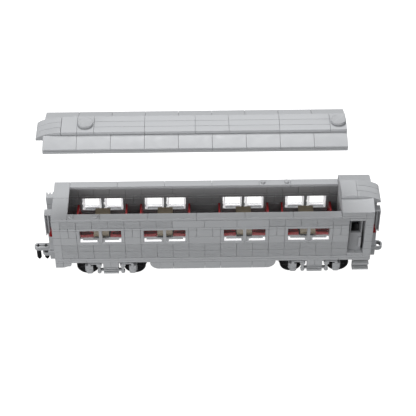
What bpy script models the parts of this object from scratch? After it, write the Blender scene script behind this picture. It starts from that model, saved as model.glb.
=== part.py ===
"""Model passenger coach, built on an 8 mm stud grid, with a lift-off roof.

Frame: +X along the coach, +Y across it, +Z up. The origin is under the middle of the whole
coach, couplers included, at the height of the rail that the wheel flanges stand on.
The rest pose holds the roof raised clear of the body. Lengths below are in millimetres, and
X is counted from the left end of the body and Y from its near side, until world() turns them
into metres in the coach's frame.
"""

import math

import bmesh
import bpy
from mathutils import Matrix, Vector

MM = 0.001
STUD = 8.0
PLATE = 3.2
BRICK = 3 * PLATE
GAP = 0.3
SIDES = 24

# Body
BODY_LENGTH = 40 * STUD
BODY_WIDTH = 7 * STUD
WALL = STUD
ROOF_OPENING = (2 * STUD, 36 * STUD)
DOORWAY = (37 * STUD, 39 * STUD)
BAYS = (3 * STUD, 11 * STUD, 21 * STUD, 29 * STUD)
FLUTED_UPPER = ((1 * STUD, 15 * STUD), (27 * STUD, 37 * STUD))
FLUTES_PER_BRICK = 5
FLUTE_DEPTH = 0.5

# Running gear
WHEEL_SIDES = 32
FLANGE_R = 12.6
TREAD_R = 11.4
WHEEL_FACE_Y = 7.0
WHEEL_WIDTH = 8.0
FLANGE_WIDTH = 2.0
AXLE_R = 1.6
AXLE_Z = FLANGE_R * math.cos(math.pi / WHEEL_SIDES)
BOGIES = (7 * STUD, 33 * STUD)
AXLE_OFFSET = 3 * STUD
BOX_OFFSET = 22.0
KNOB_OFFSET = 12.1
SIDE_FRAME_DEPTH = 6.4

# Levels, from the rail up
SILL_Z = AXLE_Z + 10.6
FLOOR_Z = SILL_Z + 2 * PLATE
LOWER_TOP = FLOOR_Z + 2 * BRICK
WINDOW_SILL = LOWER_TOP + PLATE
WINDOW_HEAD = WINDOW_SILL + 5 * PLATE
WINDOW_TOP = LOWER_TOP + 7 * PLATE
UPPER_TOP = WINDOW_TOP + BRICK
RAIL_TOP = UPPER_TOP + PLATE

# Windows: a bar one plate wide, a pane two bricks wide, a bar, a pane, a bar
MULLION = PLATE
PANE = 6 * PLATE
PANEL_WALL = 1.5
MULLION_DEPTH = 6.2

# Roof
ROOF_LIFT = 85.6
ROOF_HEIGHT = 4 * PLATE
SLOPE_EDGE = 2.05
SLOPE_DEPTH = 2 * STUD
RIDGE_Y = (2 * STUD, 5 * STUD)
CANOPY_LENGTH = 3 * STUD
CANOPY_OVERHANG = 0.93 * STUD
VENTS = (5 * STUD, 35 * STUD)
VENT_R = STUD
STUD_R = 2.4
STUD_HEIGHT = 1.8
NEAR_STUDS = (2.5 * STUD, 5.5 * STUD)
FAR_STUDS = (26.5 * STUD, 29.5 * STUD)

# Couplers: both end rings lie the same distance from the middle of the coach
ARM_R = 3.9
COUPLER_REACH = 2.5 * STUD
LEFT_PIVOT = 0.5 * STUD
LEFT_TIP = -COUPLER_REACH
RIGHT_PIVOT = 39.5 * STUD
COACH_END = 41.5 * STUD + ARM_R
PIVOT_R = 2.2
EYE_R = 3.5
EYE_RING_R = 5.2
EYE_THICKNESS = 4.8
RIGHT_TIP = COACH_END - EYE_RING_R
RIGHT_COUPLER_TOP = SILL_Z - 4.6
X_MIDDLE = (LEFT_TIP - ARM_R + COACH_END) / 2
Y_MIDDLE = BODY_WIDTH / 2

# Lower edge of each end skirt's second stud, as (studs along, plates up)
SKIRT_END = ((1.0, 0.0), (1.24, 0.22), (1.5, 0.5), (1.84, 0.55), (1.96, 0.8), (2.0, 1.1))

# Gangway
GANGWAY_DEPTH = 7.4
RIB_WIDTH = 1.1
LEG_X = (1.8, 5.8)

# Swivel room over the wheels
WELL_X = (13.2, 34.4)
WELL_Y = (2.0, 20.4)
WELL_SKIN = 0.8

COLOURS = {
    "light_grey": ((0.39, 0.40, 0.41), 0.35),
    "fluted_grey": ((0.33, 0.34, 0.35), 0.38),
    "dark_red": ((0.15, 0.008, 0.012), 0.32),
    "dark_tan": ((0.20, 0.165, 0.11), 0.4),
    "wheel_black": ((0.012, 0.012, 0.013), 0.42),
    "axle_steel": ((0.55, 0.55, 0.56), 0.25),
    "clear": ((0.9, 0.93, 0.95), 0.05),
    "lamp_red": ((0.25, 0.01, 0.012), 0.12),
}


def clear_scene():
    for obj in list(bpy.data.objects):
        bpy.data.objects.remove(obj, do_unlink=True)


def material(name):
    found = bpy.data.materials.get(name)
    if found:
        return found
    made = bpy.data.materials.new(name)
    made.use_nodes = True
    colour, roughness = COLOURS[name]
    shader = made.node_tree.nodes["Principled BSDF"]
    shader.inputs["Base Color"].default_value = (*colour, 1.0)
    shader.inputs["Roughness"].default_value = roughness
    if name == "axle_steel":
        shader.inputs["Metallic"].default_value = 1.0
    if name == "clear":
        shader.inputs["Transmission Weight"].default_value = 1.0
    return made


def world(x, y, z):
    """A point counted from the body's left end and near side, as metres in the coach's frame."""
    return Vector(((x - X_MIDDLE) * MM, (y - Y_MIDDLE) * MM, z * MM))


def mirror_y(y):
    """The same place on the other side of the coach."""
    return BODY_WIDTH - y


def shape(bm):
    """A scratch object, used up by solid()."""
    bmesh.ops.recalc_face_normals(bm, faces=bm.faces)
    mesh = bpy.data.meshes.new("scratch")
    bm.to_mesh(mesh)
    bm.free()
    obj = bpy.data.objects.new("scratch", mesh)
    bpy.context.scene.collection.objects.link(obj)
    return obj


def box(x, y, z):
    """A block between two values on each axis."""
    bm = bmesh.new()
    bmesh.ops.create_cube(bm, size=1.0)
    low = world(x[0], y[0], z[0])
    high = world(x[1], y[1], z[1])
    size = high - low
    bmesh.ops.scale(bm, vec=size, verts=bm.verts)
    bmesh.ops.translate(bm, vec=(low + high) / 2, verts=bm.verts)
    return shape(bm)


def prism(outline, axis, span):
    """An outline of (a, b) points pushed along an axis: (x, z) along y, (y, z) along x, (x, y) along z."""
    bm = bmesh.new()
    place = {
        "x": lambda a, b, c: world(c, a, b),
        "y": lambda a, b, c: world(a, c, b),
        "z": lambda a, b, c: world(a, b, c),
    }[axis]
    first = [bm.verts.new(place(a, b, span[0])) for a, b in outline]
    last = [bm.verts.new(place(a, b, span[1])) for a, b in outline]
    bm.faces.new(first)
    bm.faces.new(list(reversed(last)))
    count = len(outline)
    for i in range(count):
        j = (i + 1) % count
        bm.faces.new((first[i], last[i], last[j], first[j]))
    return shape(bm)


def arc(centre, radius, start, end, steps):
    """Points on an arc, angles in degrees from the first axis towards the second."""
    points = []
    for i in range(steps + 1):
        angle = math.radians(start + (end - start) * i / steps)
        points.append((centre[0] + radius * math.cos(angle), centre[1] + radius * math.sin(angle)))
    return points


def post(x, y, z, radius, sides=SIDES):
    """An upright round post."""
    return prism(arc((x, y), radius, 0, 360 - 360 / sides, sides - 1), "z", z)


def turned(x, profile, y_start, outward, sides=WHEEL_SIDES):
    """A ring turned about the axle at x. The profile is (distance along the axle, radius) points."""
    bm = bmesh.new()
    rings = []
    for i in range(sides):
        angle = 2 * math.pi * (i + 0.5) / sides - math.pi / 2
        ring = []
        for along, radius in profile:
            point = world(
                x + radius * math.cos(angle),
                y_start + outward * along,
                AXLE_Z + radius * math.sin(angle),
            )
            ring.append(bm.verts.new(point))
        rings.append(ring)
    count = len(profile)
    for i in range(sides):
        this, following = rings[i], rings[(i + 1) % sides]
        for j in range(count):
            k = (j + 1) % count
            bm.faces.new((this[j], this[k], following[k], following[j]))
    return shape(bm)


def slot_outline(start, end, radius, steps=8):
    """The (x, y) outline of a round-ended arm that runs along X at the middle of the coach."""
    left = arc((start, Y_MIDDLE), radius, 90, 270, steps)
    right = arc((end, Y_MIDDLE), radius, -90, 90, steps)
    return left + right


def solid(name, finish, parts, cuts=(), origin=None):
    """One closed body: the parts joined, less the cuts. Its origin is on its joint's axis, if given."""
    base = parts[0]
    for other, operation in [(p, "UNION") for p in parts[1:]] + [(c, "DIFFERENCE") for c in cuts]:
        step = base.modifiers.new("join", "BOOLEAN")
        step.operation = operation
        step.solver = "EXACT"
        step.object = other
    bpy.context.view_layer.update()
    graph = bpy.context.evaluated_depsgraph_get()
    mesh = bpy.data.meshes.new_from_object(base.evaluated_get(graph))
    for scratch in (*parts, *cuts):
        old = scratch.data
        bpy.data.objects.remove(scratch, do_unlink=True)
        bpy.data.meshes.remove(old)
    bm = bmesh.new()
    bm.from_mesh(mesh)
    bmesh.ops.remove_doubles(bm, verts=bm.verts, dist=1e-6)
    bmesh.ops.dissolve_limit(bm, angle_limit=math.radians(0.2), verts=bm.verts, edges=bm.edges)
    bm.to_mesh(mesh)
    bm.free()
    mesh.name = name
    mesh.materials.clear()
    mesh.materials.append(material(finish))
    made = bpy.data.objects.new(name, mesh)
    bpy.context.scene.collection.objects.link(made)
    if origin is not None:
        mesh.transform(Matrix.Translation(-origin))
        made.location = origin
    mesh.shade_smooth()
    mesh.set_sharp_from_angle(angle=math.radians(30))
    return made


# ---------------------------------------------------------------- body


def underframe():
    parts = [box((0, BODY_LENGTH), (0, BODY_WIDTH), (SILL_Z, FLOOR_Z - GAP))]
    for low in (0, BODY_WIDTH - WALL):
        bottom = SILL_Z - 2 * PLATE
        skirt = [(0, bottom)]
        skirt += [(STUD * along, bottom + PLATE * rise) for along, rise in SKIRT_END]
        skirt += [(2 * STUD, SILL_Z + 1), (0, SILL_Z + 1)]
        parts.append(prism(skirt, "y", (low, low + WALL)))
        sill = (low, low + WALL)
        parts.append(box(DOORWAY, sill, (FLOOR_Z - 1, FLOOR_Z + PLATE)))
    pivots = ((LEFT_PIVOT, SILL_Z - 5.6), (RIGHT_PIVOT, RIGHT_COUPLER_TOP - EYE_THICKNESS - 0.6))
    for x, bottom in pivots:
        parts.append(post(x, Y_MIDDLE, (bottom, SILL_Z + 1), PIVOT_R, 16))
    cuts = []
    for centre in BOGIES:
        cuts.append(post(centre, Y_MIDDLE, (SILL_Z - 1, FLOOR_Z - 1.2), PIVOT_R + 0.5, 16))
        for side in (-1, 1):
            x = sorted(centre + side * w for w in WELL_X)
            near = WELL_Y
            far = tuple(sorted(mirror_y(w) for w in WELL_Y))
            for y in (near, far):
                cuts.append(box(x, y, (SILL_Z - 1, FLOOR_Z - GAP - WELL_SKIN)))
    return solid("underframe", "light_grey", parts, cuts)


def flutes(x, z_low, z_high, outer, inward):
    """A comb that cuts level flutes into a wall's outer face."""
    pitch = BRICK / FLUTES_PER_BRICK
    clear = outer - inward * 2.0
    deep = outer + inward * FLUTE_DEPTH
    points = [(clear, z_low + 0.1)]
    for i in range(round((z_high - z_low) / pitch)):
        middle = z_low + (i + 0.5) * pitch
        points.append((outer - inward, middle - 0.30 * pitch))
        points.append((deep, middle - 0.18 * pitch))
        points.append((deep, middle + 0.18 * pitch))
        points.append((outer - inward, middle + 0.30 * pitch))
    points.append((clear, z_high - 0.1))
    return prism(points, "x", x)


def wall_sides(near):
    """The outer face's Y and the inner face's Y of one side wall."""
    if near:
        return 0.0, WALL
    return BODY_WIDTH, BODY_WIDTH - WALL


def lower_wall(near):
    outer, inner = wall_sides(near)
    inward = 1 if near else -1
    wall = box((STUD + GAP, DOORWAY[0]), sorted((outer, inner)), (FLOOR_Z, LOWER_TOP - GAP))
    comb = flutes((STUD - 1, DOORWAY[0] + 1), FLOOR_Z, LOWER_TOP, outer, inward)
    name = "near_lower_wall" if near else "far_lower_wall"
    return solid(name, "fluted_grey", [wall], [comb])


def window_opening(bay, pane):
    """The X span of one pane's opening."""
    start = bay + MULLION + pane * (PANE + MULLION)
    return start, start + PANE


def upper_wall(near):
    outer, inner = wall_sides(near)
    inward = 1 if near else -1
    y = sorted((outer, inner))
    wall = box((STUD + GAP, DOORWAY[1] - GAP), y, (LOWER_TOP, UPPER_TOP - GAP))
    doorway = (DOORWAY[0], DOORWAY[1] + 1)
    cuts = [box(doorway, (y[0] - 1, y[1] + 1), (LOWER_TOP - 1, UPPER_TOP - PLATE))]
    for x in FLUTED_UPPER:
        cuts.append(flutes(x, WINDOW_TOP, UPPER_TOP, outer, inward))
    for bay in BAYS:
        for pane in (0, 1):
            cuts.append(box(window_opening(bay, pane), (y[0] - 1, y[1] + 1), (WINDOW_SILL, WINDOW_HEAD)))
        first_end = window_opening(bay, 0)[1]
        back = sorted((outer + inward * MULLION_DEPTH, inner + inward))
        behind = (first_end - 1, first_end + MULLION + 1)
        cuts.append(box(behind, back, (WINDOW_SILL, WINDOW_HEAD)))
    name = "near_upper_wall" if near else "far_upper_wall"
    return solid(name, "light_grey", [wall], cuts)


def window_unit(near, number):
    """Two clear trays, open to the inside, joined behind the middle bar."""
    outer, inner = wall_sides(near)
    inward = 1 if near else -1
    bay = BAYS[number]
    z = (WINDOW_SILL + GAP, WINDOW_HEAD - GAP)
    first = window_opening(bay, 0)
    second = window_opening(bay, 1)
    ends = (outer + inward * GAP, inner)
    whole = box((first[0] + GAP, second[1] - GAP), sorted(ends), z)
    cuts = []
    for start, end in (first, second):
        x = (start + GAP + PANEL_WALL, end - GAP - PANEL_WALL)
        hollow = sorted((outer + inward * (GAP + PANEL_WALL), inner + inward))
        cuts.append(box(x, hollow, (z[0] + PANEL_WALL, z[1] - PANEL_WALL)))
    room = sorted((outer - inward, outer + inward * (MULLION_DEPTH + GAP)))
    cuts.append(box((first[1] - GAP, second[0] + GAP), room, (z[0] - 1, z[1] + 1)))
    side = "near" if near else "far"
    return solid(f"{side}_window_{number + 1}", "clear", [whole], cuts)


def top_frame():
    ring = box((0, BODY_LENGTH), (0, BODY_WIDTH), (UPPER_TOP, RAIL_TOP))
    studs = [post(x, WALL / 2, (RAIL_TOP - 1, RAIL_TOP + STUD_HEIGHT), STUD_R, 16) for x in NEAR_STUDS]
    far = BODY_WIDTH - WALL / 2
    studs += [post(x, far, (RAIL_TOP - 1, RAIL_TOP + STUD_HEIGHT), STUD_R, 16) for x in FAR_STUDS]
    opening = box(ROOF_OPENING, (WALL, BODY_WIDTH - WALL), (UPPER_TOP - 1, RAIL_TOP + 1))
    return solid("top_frame", "light_grey", [ring, *studs], [opening])


def cross_wall(name, x, y):
    """A wall across the coach with a doorway in the middle."""
    wall = box(x, y, (FLOOR_Z, UPPER_TOP - GAP))
    doorway = box((x[0] - 1, x[1] + 1), (2.5 * STUD, 4.5 * STUD), (FLOOR_Z - 1, WINDOW_TOP))
    return solid(name, "light_grey", [wall], [doorway])


def slope_outline(z, near):
    """The section of one slope course, (y, z), from the roof's edge up to the ridge's side."""
    crown = z + 3 * PLATE
    edge = z + PLATE + SLOPE_EDGE
    points = [(0.0, z + PLATE), (0.0, edge)]
    steps = 4
    for i in range(1, steps + 1):
        t = i / steps
        points.append((SLOPE_DEPTH * t, edge + (crown - edge) * (1 - (1 - t) ** 1.25)))
    points.append((SLOPE_DEPTH, z + PLATE))
    if near:
        return points
    return [(mirror_y(y), height) for y, height in points]


def canopy_outline(root, tip, z):
    """The (x, z) outline of the curved end course: flat below, rounded down to a thin tip."""
    top = z + ROOF_HEIGHT
    edge = z + PLATE + SLOPE_EDGE
    length = tip - root
    points = [(root, z + PLATE), (root, top)]
    steps = 8
    for i in range(1, steps + 1):
        t = i / steps
        curve = math.sqrt(1 - 0.96 * t**2) - 0.2 * t
        points.append((root + length * t, edge + (top - edge) * curve))
    points.append((tip, z + PLATE))
    return points


def end_roof():
    """The fixed roof over the entrance, with its canopy."""
    z = RAIL_TOP
    x = (ROOF_OPENING[1], BODY_LENGTH)
    low = z + GAP
    parts = [box(x, (0, BODY_WIDTH), (low, z + PLATE + 0.5))]
    for near in (True, False):
        parts.append(prism(slope_outline(z, near), "x", x))
    parts.append(box((x[0], 38 * STUD), (RIDGE_Y[0] - 0.5, RIDGE_Y[1] + 0.5), (z + PLATE, z + 3 * PLATE - 0.1)))
    parts.append(box((x[0], 38 * STUD), RIDGE_Y, (z + PLATE, z + ROOF_HEIGHT)))
    tip = BODY_LENGTH + CANOPY_OVERHANG
    parts.append(prism(canopy_outline(tip - CANOPY_LENGTH + 0.5, tip, z), "y", RIDGE_Y))
    return solid("end_roof", "light_grey", parts)


def centre_skirt():
    start, end = 12 * STUD, 28 * STUD
    radius = 3 * PLATE - GAP
    outline = [(start, SILL_Z - GAP)]
    outline += arc((start + radius, SILL_Z - GAP), radius, 180, 270, 8)[1:]
    outline += arc((end - radius, SILL_Z - GAP), radius, 270, 360, 8)[:-1]
    outline += [(end, SILL_Z - GAP)]
    return solid("centre_skirt", "light_grey", [prism(outline, "y", (0, BODY_WIDTH))])


def steps(near):
    """Two hanging treads with risers set back behind them."""
    top = SILL_Z - GAP
    profile = [(0.8, 0.0), (7.6, 0.0), (7.6, -15.4), (1.2, -15.4), (1.2, -13.8), (5.0, -13.8)]
    profile += [(5.0, -7.8), (0.8, -7.8), (0.8, -6.2), (4.6, -6.2), (4.6, -1.2), (0.8, -1.2)]
    outline = []
    for y, z in profile:
        outline.append((y if near else mirror_y(y), top + z))
    name = "near_steps" if near else "far_steps"
    return solid(name, "light_grey", [prism(outline, "x", (37.85 * STUD, 39.93 * STUD))])


def gangway(left):
    """Ribbed posts either side of the end door, on a threshold plate, with plain legs below."""
    face = -GAP if left else BODY_LENGTH + GAP
    out = -1 if left else 1
    deep = GANGWAY_DEPTH
    ribs_bottom = UPPER_TOP - 3 * BRICK
    foot_bottom = SILL_Z - 7.2

    def x_span(a, b):
        return sorted((face + out * a, face + out * b))

    parts = [box(x_span(0, deep), (11.4, 44.6), (FLOOR_Z - PLATE, FLOOR_Z))]
    for near in (True, False):
        inner = (13.8, 19.6) if near else (36.4, 42.2)
        ribbed = (11.1, 13.9) if near else (42.1, 44.9)
        parts.append(box(x_span(0, deep), inner, (ribs_bottom, UPPER_TOP)))
        for i in range(3):
            start = i * (deep - RIB_WIDTH) / 2
            parts.append(box(x_span(start, start + RIB_WIDTH), ribbed, (ribs_bottom, UPPER_TOP)))
        parts.append(box(x_span(*LEG_X), inner, (FLOOR_Z - 1, ribs_bottom + 1)))
        link = (FLOOR_Z + PLATE, FLOOR_Z + PLATE + 1.2)
        parts.append(box(x_span(0, LEG_X[0] + 1), (inner[0] + 1, inner[1] - 1), link))
        parts.append(box(x_span(0, 6.2), inner, (foot_bottom, FLOOR_Z - 1)))
    name = "left_gangway" if left else "right_gangway"
    return solid(name, "light_grey", parts)


def tail_lamp(left, near):
    """A small pointed lens on the end wall."""
    face = -GAP if left else BODY_LENGTH + GAP
    out = -1 if left else 1
    y = (4.6, 10.6) if near else (mirror_y(10.6), mirror_y(4.6))
    base = WINDOW_SILL + 4.2
    outline = [(face, base), (face + out * 3.4, base), (face + out * 3.4, base + 2.6)]
    outline += [(face + out * 1.2, base + 9.2), (face, base + 9.2)]
    end = "left" if left else "right"
    side = "near" if near else "far"
    return solid(f"{end}_{side}_tail_lamp", "lamp_red", [prism(outline, "y", y)])


def seat_bay(number):
    """Two facing rows of seats, near and far of the aisle, on one plinth."""
    start = BAYS[number]
    width = 2 * STUD
    plinth_top = FLOOR_Z + BRICK
    aisle = box((start, start + 6 * STUD), (3 * STUD - 1, 4 * STUD + 1), (FLOOR_Z, FLOOR_Z + PLATE))
    parts = [aisle]
    for row, direction in ((start, 1), (start + 6 * STUD, -1)):
        for y in ((WALL + GAP, 3 * STUD), (4 * STUD, BODY_WIDTH - WALL - GAP)):
            x = sorted((row, row + direction * width))
            parts.append(box(x, y, (FLOOR_Z, plinth_top + PLATE)))
            back = [(row, plinth_top + 1), (row - direction * 1.7, plinth_top + 21.4)]
            back += [(row + direction * 0.2, plinth_top + 21.4), (row + direction * 3.6, plinth_top + 1)]
            parts.append(prism(back, "y", (y[0] + 0.2, y[1] - 0.2)))
            arm = [(row + direction * 0.4, plinth_top + 1), (row + direction * 0.4, plinth_top + 11.2)]
            arm += [(row + direction * 6.0, plinth_top + 11.2), (row + direction * 15.0, plinth_top + 6.0)]
            arm += [(row + direction * 15.6, plinth_top + 1)]
            for edge in (y[0] + 0.2, y[1] - 1.8):
                parts.append(prism(arm, "y", (edge, edge + 1.6)))
    return solid(f"seat_bay_{number + 1}", "dark_red", parts)


def table(number):
    """A table either side of the aisle, on one cross plate."""
    start = BAYS[number] + 2 * STUD
    x = (start + GAP, start + 2 * STUD - GAP)
    middle = start + STUD
    top = FLOOR_Z + 8 * PLATE
    foot = FLOOR_Z + PLATE + GAP
    leg = (middle - 2.4, middle + 2.4)
    parts = [box(leg, (2 * STUD, 5 * STUD), (foot, foot + 2.0))]
    for y in ((WALL + GAP, 3 * STUD), (4 * STUD, BODY_WIDTH - WALL - GAP)):
        parts.append(box(x, y, (top - PLATE, top)))
        centre = 2 * STUD if y[1] < Y_MIDDLE else 5 * STUD
        parts.append(post(middle, centre, (foot, top - 1), 2.4, 16))
    return solid(f"table_{number + 1}", "dark_tan", parts)


# ---------------------------------------------------------------- doors

DOOR_AXIS_X = DOORWAY[0] + 2.0
DOOR_AXIS_Y = 6.0
DOOR_HALF = 1.4


def door(near):
    """A leaf with a glazed upper half and an upright handle, hinged on its left edge."""
    z = (FLOOR_Z + PLATE + GAP, UPPER_TOP - PLATE - GAP)
    axis_y = DOOR_AXIS_Y if near else mirror_y(DOOR_AXIS_Y)
    out = -1 if near else 1
    x = (DOOR_AXIS_X, DOORWAY[1] - 1.6)
    leaf = box(x, (axis_y - DOOR_HALF, axis_y + DOOR_HALF), z)
    stile = post(DOOR_AXIS_X, axis_y, z, DOOR_HALF, 16)
    grip_x = 38.42 * STUD
    grip_z = (RAIL_TOP - 44.2, RAIL_TOP - 31.7)
    grip_y = sorted((axis_y + out * (DOOR_HALF + 1.0), axis_y + out * (DOOR_HALF + 2.4)))
    grip = box((grip_x - 0.9, grip_x + 0.9), grip_y, grip_z)
    stubs = []
    for low in (grip_z[0], grip_z[1] - 1.8):
        stub_y = sorted((axis_y, axis_y + out * (DOOR_HALF + 1.4)))
        stubs.append(box((grip_x - 0.9, grip_x + 0.9), stub_y, (low, low + 1.8)))
    light = box((x[0] + 1.4, x[1] - 2.2), (axis_y - 3, axis_y + 3), (RAIL_TOP - 24.4, RAIL_TOP - 9.6))
    name = "near_door" if near else "far_door"
    return solid(name, "light_grey", [leaf, stile, grip, *stubs], [light], world(DOOR_AXIS_X, axis_y, z[0]))


# ---------------------------------------------------------------- lift-off roof


def lift_off_roof():
    z = RAIL_TOP + ROOF_LIFT
    x = (0.0, ROOF_OPENING[1] - GAP)
    axis = world(18 * STUD, Y_MIDDLE, z)
    base = box(x, (0, BODY_WIDTH), (z, z + PLATE - GAP))
    sockets = []
    for places, y in ((NEAR_STUDS, WALL / 2), (FAR_STUDS, BODY_WIDTH - WALL / 2)):
        sockets += [post(place, y, (z - 1, z + STUD_HEIGHT + 0.5), STUD_R + 0.3, 16) for place in places]
    solid("roof_plate", "light_grey", [base], sockets, axis)
    for near, name in ((True, "near_roof_slope"), (False, "far_roof_slope")):
        course = prism(slope_outline(z, near), "x", x)
        low = SLOPE_DEPTH - GAP if near else mirror_y(SLOPE_DEPTH) - 1
        beside_ridge = box((x[0] - 1, x[1] + 1), (low, low + 1 + GAP), (z, z + ROOF_HEIGHT))
        solid(name, "light_grey", [course], [beside_ridge], axis)
    tip = -CANOPY_OVERHANG
    root = tip + CANOPY_LENGTH
    ridge = box((root + GAP, x[1]), RIDGE_Y, (z + PLATE, z + ROOF_HEIGHT))
    seats = [post(place, Y_MIDDLE, (z + ROOF_HEIGHT - 1, z + ROOF_HEIGHT + 1), 3.3, 16) for place in VENTS]
    solid("roof_ridge", "light_grey", [ridge], seats, axis)
    solid("roof_canopy", "light_grey", [prism(canopy_outline(root, tip, z), "y", RIDGE_Y)], (), axis)
    for place, name in zip(VENTS, ("left_roof_vent", "right_roof_vent")):
        top = z + ROOF_HEIGHT + PLATE
        plinth = post(place, Y_MIDDLE, (z + ROOF_HEIGHT + GAP, top - 0.8), VENT_R - 0.25 - GAP, 32)
        cap = post(place, Y_MIDDLE, (top - 1.2, top), VENT_R - 1.0, 32)
        peg = post(place, Y_MIDDLE, (z + ROOF_HEIGHT - 0.7, z + ROOF_HEIGHT + 1), 3.0, 16)
        solid(name, "light_grey", [plinth, cap, peg], (), axis)


# ---------------------------------------------------------------- running gear


def bogie_frame(centre, name):
    """The bolster, its kingpin, and both side frames with their axle boxes."""
    top = SILL_Z - GAP
    low = top - 6.0
    axis = world(centre, Y_MIDDLE, AXLE_Z)
    parts = [box((centre - 6.4, centre + 6.4), (5.0, BODY_WIDTH - 5.0), (low, top))]
    parts.append(post(centre, Y_MIDDLE, (low, FLOOR_Z - 2.2), PIVOT_R, 16))
    cuts = []
    for near in (True, False):

        def y_span(a, b, side=near):
            return sorted((a, b)) if side else sorted((mirror_y(a), mirror_y(b)))

        def bar(x, y, z):
            parts.append(box(sorted(x), y_span(*y), z))

        block = (centre - 7.7, centre + 7.7)
        bar(block, (0.3, SIDE_FRAME_DEPTH), (top - 7.2, top))
        bar((centre - 6.6, centre + 6.6), (2.2, 5.6), (top - 15.9, top - 6))
        for bottom in (top - 9.4, top - 12.1):
            bar(block, (0.5, 6.0), (bottom, bottom + 1.3))
        bar(block, (1.7, 6.0), (top - 16.0, top - 13.2))
        for side in (-1, 1):
            knob = centre + side * KNOB_OFFSET
            cover = centre + side * BOX_OFFSET
            axle = centre + side * AXLE_OFFSET
            outline = [(knob - 1.2, top - 4.2), (knob - 1.2, top - 13.6), (knob - 2.0, top - 13.8)]
            outline += arc((knob, top - 14.0), 2.0, 180, 360, 8)[1:-1]
            outline += [(knob + 2.0, top - 13.8), (knob + 1.2, top - 13.6), (knob + 1.2, top - 4.2)]
            parts.append(prism(outline, "y", y_span(0.8, 4.8)))
            flare = [(knob - 2.7, top - 3.4), (knob - 2.7, top - 5.6), (knob - 1.2, top - 7.4)]
            flare += [(knob + 1.2, top - 7.4), (knob + 2.7, top - 5.6), (knob + 2.7, top - 3.4)]
            parts.append(prism(flare, "y", y_span(0.8, 4.8)))
            bar((centre + side * 7.0, knob), (1.6, 5.0), (top - 13.5, top - 11.7))
            bar((centre + side * 7.0, knob), (3.4, 5.4), (top - 4.4, top - 2.4))
            bar((knob - side, cover + side), (1.6, 4.6), (top - 4.0, top - 2.4))
            bar((cover - 1.4, cover + 1.4), (0.9, 4.8), (AXLE_Z, top - 3.0))
            face = [(cover - 4.0, AXLE_Z + 4.6), (cover - 3.8, AXLE_Z - 4.4)]
            face += [(cover - 2.2, AXLE_Z - 5.4), (cover + 2.2, AXLE_Z - 5.4)]
            face += [(cover + 3.8, AXLE_Z - 4.4), (cover + 4.0, AXLE_Z + 4.6)]
            parts.append(prism(face, "y", y_span(0.3, 3.0)))
            bar((axle - 4.0, axle + 4.0), (2.6, SIDE_FRAME_DEPTH), (AXLE_Z - 3.9, AXLE_Z + 3.9))
            seat = arc((axle, AXLE_Z), AXLE_R + GAP, 0, 345, 15)
            cuts.append(prism(seat, "y", y_span(3.2, SIDE_FRAME_DEPTH + 1)))
    return solid(name, "light_grey", parts, cuts, axis)


def wheelset(centre, side, number):
    """An axle with a wheel pressed on near each end. All three turn together."""
    x = centre + side * AXLE_OFFSET
    axis = world(x, Y_MIDDLE, AXLE_Z)
    outline = arc((x, AXLE_Z), AXLE_R, 0, 345, 15)
    solid(f"axle_{number}", "axle_steel", [prism(outline, "y", (3.5, BODY_WIDTH - 3.5))], (), axis)
    bore = AXLE_R + GAP
    hub = 4.4
    dish = 1.2
    profile = [(0.0, bore), (0.0, hub), (dish, hub + 0.8), (dish, TREAD_R - 2.0), (0.0, TREAD_R - 1.2)]
    profile += [(0.0, TREAD_R - 0.4), (0.5, TREAD_R), (WHEEL_WIDTH - FLANGE_WIDTH, TREAD_R)]
    profile += [(WHEEL_WIDTH - FLANGE_WIDTH + 0.4, FLANGE_R), (WHEEL_WIDTH, FLANGE_R)]
    profile += [(WHEEL_WIDTH, bore)]
    solid(f"near_wheel_{number}", "wheel_black", [turned(x, profile, WHEEL_FACE_Y, 1)], (), axis)
    solid(f"far_wheel_{number}", "wheel_black", [turned(x, profile, mirror_y(WHEEL_FACE_Y), -1)], (), axis)


# ---------------------------------------------------------------- couplers


def left_coupler():
    """A flat arm with a long drop pin at its tip, braced by a short lower arm on a second pin."""
    top = SILL_Z - 1.4
    upper = prism(slot_outline(LEFT_TIP, LEFT_PIVOT, ARM_R), "z", (top - 3.9, top))
    lower = prism(slot_outline(LEFT_TIP + STUD, LEFT_TIP + 2 * STUD, ARM_R), "z", (top - 11.4, top - 7.5))
    pins = []
    for x in (LEFT_TIP, LEFT_TIP + STUD):
        pins.append(post(x, Y_MIDDLE, (top - 16.8, top - 1), 2.35, 16))
        pins.append(post(x, Y_MIDDLE, (top - 18.6, top - 16), 1.3, 16))
    hole = post(LEFT_PIVOT, Y_MIDDLE, (top - 6, top + 1), PIVOT_R + 0.4, 16)
    axis = world(LEFT_PIVOT, Y_MIDDLE, top)
    return solid("left_coupler", "light_grey", [upper, lower, *pins], [hole], axis)


def right_coupler():
    """A flat bar with a wide ring at its tip, for the other coach's drop pin."""
    top = RIGHT_COUPLER_TOP
    z = (top - EYE_THICKNESS, top)
    through = (z[0] - 1, z[1] + 1)
    beam = prism(slot_outline(RIGHT_PIVOT, RIGHT_TIP - EYE_RING_R, ARM_R), "z", z)
    ring = post(RIGHT_TIP, Y_MIDDLE, z, EYE_RING_R, 32)
    eye = post(RIGHT_TIP, Y_MIDDLE, through, EYE_R)
    hole = post(RIGHT_PIVOT, Y_MIDDLE, through, PIVOT_R + 0.4, 16)
    axis = world(RIGHT_PIVOT, Y_MIDDLE, top)
    return solid("right_coupler", "light_grey", [beam, ring], [eye, hole], axis)


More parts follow.
